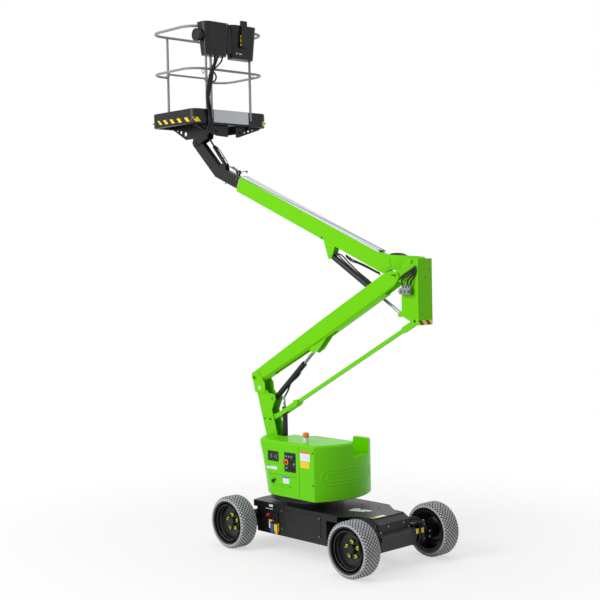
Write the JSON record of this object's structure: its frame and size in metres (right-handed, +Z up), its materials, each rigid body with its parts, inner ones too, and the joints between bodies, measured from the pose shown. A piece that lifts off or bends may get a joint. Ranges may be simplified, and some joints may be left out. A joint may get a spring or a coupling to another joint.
{
  "type": "articulating boom lift",
  "caption": "Self-propelled articulating boom lift: slewing turret, parallel lower boom, telescopic upper boom and levelled work cage on a narrow wheeled chassis.",
  "frame": {"origin": "on the ground under the middle of the whole outline", "axes": "+Z up; +X towards the turret's tail and the knuckle of the booms, with the cage over -X; +Y to the side away from the control panels"},
  "size_m": [3.9975, 1.5, 6.294],
  "materials": {
    "green_paint": "gloss",
    "black_paint": "satin",
    "hood_green": "gloss",
    "tyre_grey": "matt",
    "rim_black": "satin",
    "steel_bare": "satin",
    "chrome_rod": "polished",
    "cover_silver": "satin",
    "rail_grey": "satin",
    "moulding_black": "matt",
    "panel_grey": "matt",
    "console_black": "matt",
    "lens_amber": "gloss",
    "beacon_white": "gloss",
    "knob_red": "gloss",
    "plug_blue": "gloss",
    "iron": "matt",
    "wear_nylon": "matt"
  },
  "bodies": {
    "chassis": {"chassis_frame": "black_paint", "battery_pack": "iron", "slew_ring": "steel_bare", "isolator_knob": "knob_red", "plug_connectors": "plug_blue"},
    "knuckle_left": {"knuckle_left": "black_paint"},
    "knuckle_right": {"knuckle_right": "black_paint"},
    "wheel_front_left": {"tyre_front_left": "tyre_grey", "rim_front_left": "rim_black"},
    "wheel_front_right": {"tyre_front_right": "tyre_grey", "rim_front_right": "rim_black"},
    "wheel_rear_left": {"tyre_rear_left": "tyre_grey", "rim_rear_left": "rim_black"},
    "wheel_rear_right": {"tyre_rear_right": "tyre_grey", "rim_rear_right": "rim_black"},
    "turret": {"turret_platform": "black_paint", "turret_hood": "hood_green", "counterweight": "iron", "control_panels": "panel_grey", "beacon_base": "beacon_white", "beacon_lens": "lens_amber", "mast_post": "green_paint", "hose_guard": "moulding_black"},
    "lower_boom": {"lower_boom": "green_paint"},
    "brace": {"brace": "green_paint"},
    "upright": {"upright": "green_paint", "valve_block": "steel_bare"},
    "upper_boom": {"upper_boom": "green_paint", "boom_cover": "cover_silver", "wear_pads": "wear_nylon"},
    "nose": {"boom_nose": "black_paint"},
    "cage": {"cage_frame": "black_paint", "toe_mouldings": "moulding_black", "toe_panel": "panel_grey", "cage_floor": "cover_silver", "cage_rails": "rail_grey", "console_box": "console_black", "cage_hoses": "console_black"},
    "drop_bar": {"drop_bar": "rail_grey"},
    "lift_barrel": {"lift_barrel": "black_paint"},
    "lift_rod": {"lift_rod": "chrome_rod"},
    "tilt_barrel": {"tilt_barrel": "black_paint"},
    "tilt_rod": {"tilt_rod": "chrome_rod"},
    "level_barrel": {"level_barrel": "black_paint"},
    "level_rod": {"level_rod": "chrome_rod"}
  },
  "joints": [
    {"name": "turret_slew", "type": "hinge", "parent": "chassis", "child": "turret", "pos_m": [0.133, 0, 0.615], "axis": [0, 0, 1], "range_deg": [0, 355]},
    {"name": "lower_boom_lift", "type": "hinge", "parent": "turret", "child": "lower_boom", "pos_m": [-0.632, 0, 1.945], "axis": [0, -1, 0], "range_deg": [-32, 42]},
    {"name": "brace_swing", "type": "hinge", "parent": "turret", "child": "brace", "pos_m": [-0.372, 0, 1.465], "axis": [0, -1, 0], "range_deg": [-32.01, 42.01]},
    {"name": "upright_level", "type": "hinge", "parent": "lower_boom", "child": "upright", "pos_m": [1.67161, 0, 3.16985], "axis": [0, -1, 0], "range_deg": [-42.01, 32.01]},
    {"name": "upper_boom_lift", "type": "hinge", "parent": "upright", "child": "upper_boom", "pos_m": [1.888, 0, 3.32], "axis": [0, 1, 0], "range_deg": [-39.8, 29.2]},
    {"name": "telescope", "type": "slide", "parent": "upper_boom", "child": "nose", "axis": [-0.9219, 0, 0.3875], "range_m": [0, 1.3]},
    {"name": "cage_level", "type": "hinge", "parent": "nose", "child": "cage", "pos_m": [-1.87086, 0, 4.88598], "axis": [0, 1, 0], "range_deg": [-29.21, 39.81]},
    {"name": "drop_bar_lift", "type": "slide", "parent": "cage", "child": "drop_bar", "axis": [0, 0, 1], "range_m": [0, 0.38]},
    {"name": "lift_barrel_swing", "type": "hinge", "parent": "turret", "child": "lift_barrel", "pos_m": [-0.328, 0, 1.714], "axis": [0, -1, 0], "range_deg": [-33.36, 43.78]},
    {"name": "lift_rod_slide", "type": "slide", "parent": "lift_barrel", "child": "lift_rod", "axis": [0.7554, 0, 0.6553], "range_m": [-0.19565, 0.25673]},
    {"name": "tilt_barrel_swing", "type": "hinge", "parent": "upper_boom", "child": "tilt_barrel", "pos_m": [0.55207, 0, 3.39343], "axis": [0, 1, 0], "range_deg": [-0.1669, 0.2239]},
    {"name": "tilt_rod_slide", "type": "slide", "parent": "tilt_barrel", "child": "tilt_rod", "axis": [0.8533, 0, -0.5215], "range_m": [-0.41143, 0.3019]},
    {"name": "level_barrel_swing", "type": "hinge", "parent": "nose", "child": "level_barrel", "pos_m": [-1.33312, 0, 4.56013], "axis": [0, 1, 0], "range_deg": [-4.32, 3.17]},
    {"name": "level_rod_slide", "type": "slide", "parent": "level_barrel", "child": "level_rod", "axis": [-0.6547, 0, 0.7559], "range_m": [-0.11852, 0.08701]},
    {"name": "steering_left", "type": "hinge", "parent": "chassis", "child": "knuckle_left", "pos_m": [1.5, 0.462, 0.304], "axis": [0, 0, 1], "range_deg": [-35, 35]},
    {"name": "steering_right", "type": "hinge", "parent": "chassis", "child": "knuckle_right", "pos_m": [1.5, -0.462, 0.304], "axis": [0, 0, 1], "range_deg": [-35, 35]},
    {"name": "wheel_front_left_spin", "type": "hinge", "parent": "chassis", "child": "wheel_front_left", "pos_m": [-0.464, 0.634, 0.304], "axis": [0, 1, 0], "continuous": true},
    {"name": "wheel_front_right_spin", "type": "hinge", "parent": "chassis", "child": "wheel_front_right", "pos_m": [-0.464, -0.634, 0.304], "axis": [0, 1, 0], "continuous": true},
    {"name": "wheel_rear_left_spin", "type": "hinge", "parent": "knuckle_left", "child": "wheel_rear_left", "pos_m": [1.5, 0.634, 0.304], "axis": [0, 1, 0], "continuous": true},
    {"name": "wheel_rear_right_spin", "type": "hinge", "parent": "knuckle_right", "child": "wheel_rear_right", "pos_m": [1.5, -0.634, 0.304], "axis": [0, 1, 0], "continuous": true}
  ],
  "couplings": [
    {"joint": "brace_swing", "follows": "lower_boom_lift", "ratio": 1},
    {"joint": "upright_level", "follows": "lower_boom_lift", "ratio": -1},
    {"joint": "lift_barrel_swing", "follows": "lower_boom_lift", "ratio": 1.0421},
    {"joint": "lift_rod_slide", "follows": "lower_boom_lift", "m_per_rad": 0.34996},
    {"joint": "cage_level", "follows": "upper_boom_lift", "ratio": -1},
    {"joint": "tilt_barrel_swing", "follows": "upper_boom_lift", "ratio": -0.005374},
    {"joint": "tilt_rod_slide", "follows": "upper_boom_lift", "m_per_rad": 0.592},
    {"joint": "level_barrel_swing", "follows": "upper_boom_lift", "ratio": 0.10833},
    {"joint": "level_rod_slide", "follows": "upper_boom_lift", "m_per_rad": 0.17033},
    {"joint": "steering_right", "follows": "steering_left", "ratio": 1}
  ]
}
